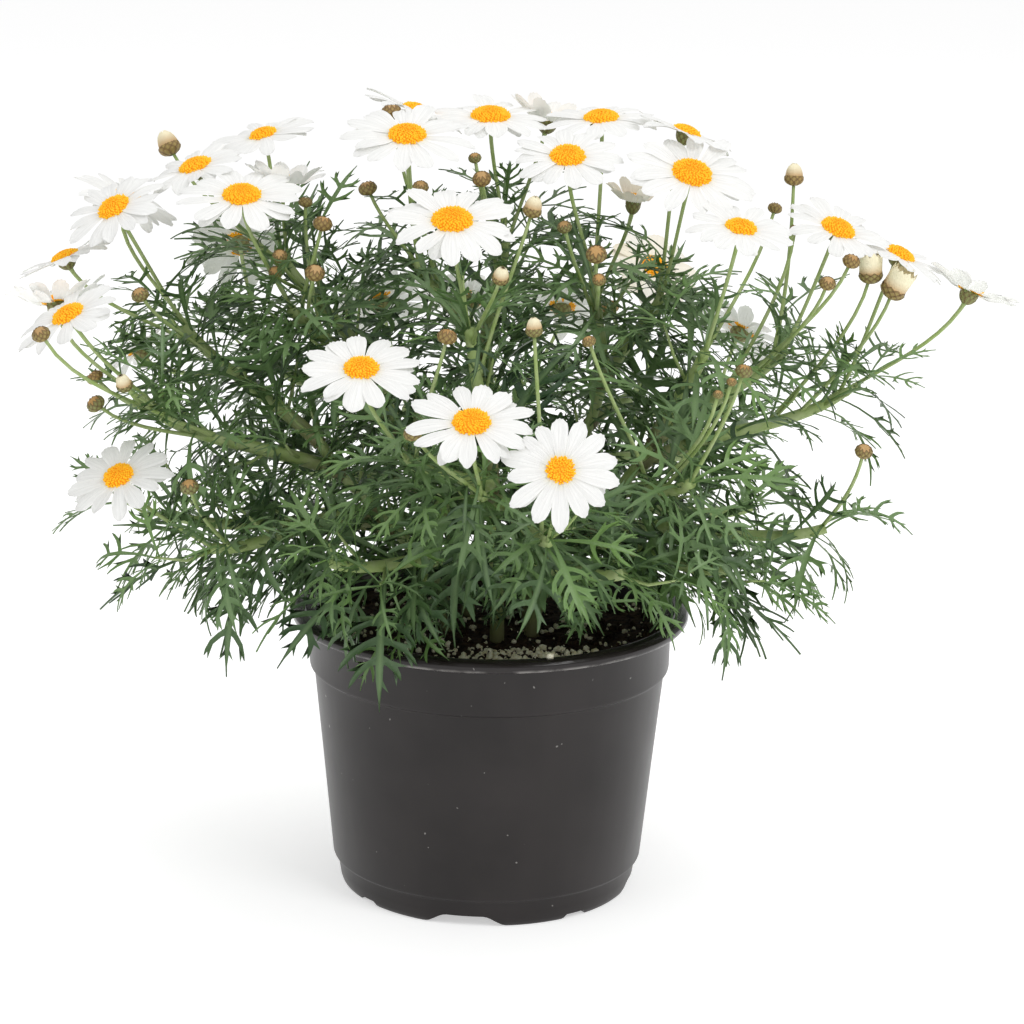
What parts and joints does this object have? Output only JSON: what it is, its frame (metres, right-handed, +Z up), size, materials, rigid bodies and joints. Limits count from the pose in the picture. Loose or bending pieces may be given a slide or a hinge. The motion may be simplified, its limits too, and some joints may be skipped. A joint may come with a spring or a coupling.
{
  "type": "potted marguerite daisy",
  "caption": "Bushy marguerite daisy in flower, white petals round yellow discs on bare stalks above finely cut leaves, standing in soil in a round nursery pot.",
  "frame": {"origin": "centre of the flat underside of the pot, on the surface it stands on", "axes": "+Z up along the axis of the pot, -Y towards the side seen in the picture, +X to its right"},
  "size_m": [0.4059, 0.3119, 0.3271],
  "materials": {
    "pot_plastic": "satin",
    "soil": "matte",
    "green": "matte",
    "petal_white": "matte",
    "disc_yellow": "matte"
  },
  "bodies": {
    "root": {"disc_01": "disc_yellow", "disc_02": "disc_yellow", "disc_03": "disc_yellow", "disc_04": "disc_yellow", "disc_05": "disc_yellow", "disc_06": "disc_yellow", "disc_07": "disc_yellow", "disc_08": "disc_yellow", "disc_09": "disc_yellow", "disc_10": "disc_yellow", "disc_11": "disc_yellow", "disc_12": "disc_yellow", "disc_13": "disc_yellow", "disc_14": "disc_yellow", "disc_15": "disc_yellow", "disc_16": "disc_yellow", "disc_17": "disc_yellow", "disc_18": "disc_yellow", "disc_19": "disc_yellow", "disc_20": "disc_yellow", "disc_21": "disc_yellow", "disc_22": "disc_yellow", "disc_23": "disc_yellow", "disc_24": "disc_yellow", "disc_25": "disc_yellow", "disc_26": "disc_yellow", "disc_27": "disc_yellow", "disc_28": "disc_yellow", "disc_29": "disc_yellow", "disc_30": "disc_yellow", "disc_31": "disc_yellow", "disc_32": "disc_yellow", "disc_33": "disc_yellow", "disc_34": "disc_yellow", "leafy_stem_back": "green", "leafy_stem_front": "green", "leafy_stem_left": "green", "leafy_stem_left_back": "green", "leafy_stem_right": "green", "leafy_stem_right_back": "green", "pot": "pot_plastic", "rays_01_02": "petal_white", "rays_03": "petal_white", "rays_04_05": "petal_white", "rays_06": "petal_white", "rays_07": "petal_white", "rays_08_09_10": "petal_white", "rays_11": "petal_white", "rays_12": "petal_white", "rays_13": "petal_white", "rays_14_15": "petal_white", "rays_16": "petal_white", "rays_17_18_19_20": "petal_white", "rays_21_22_23": "petal_white", "rays_24_25_27_28_31": "petal_white", "rays_26": "petal_white", "rays_29": "petal_white", "rays_30": "petal_white", "rays_32_33_34": "petal_white", "soil": "soil"}
  },
  "joints": []
}
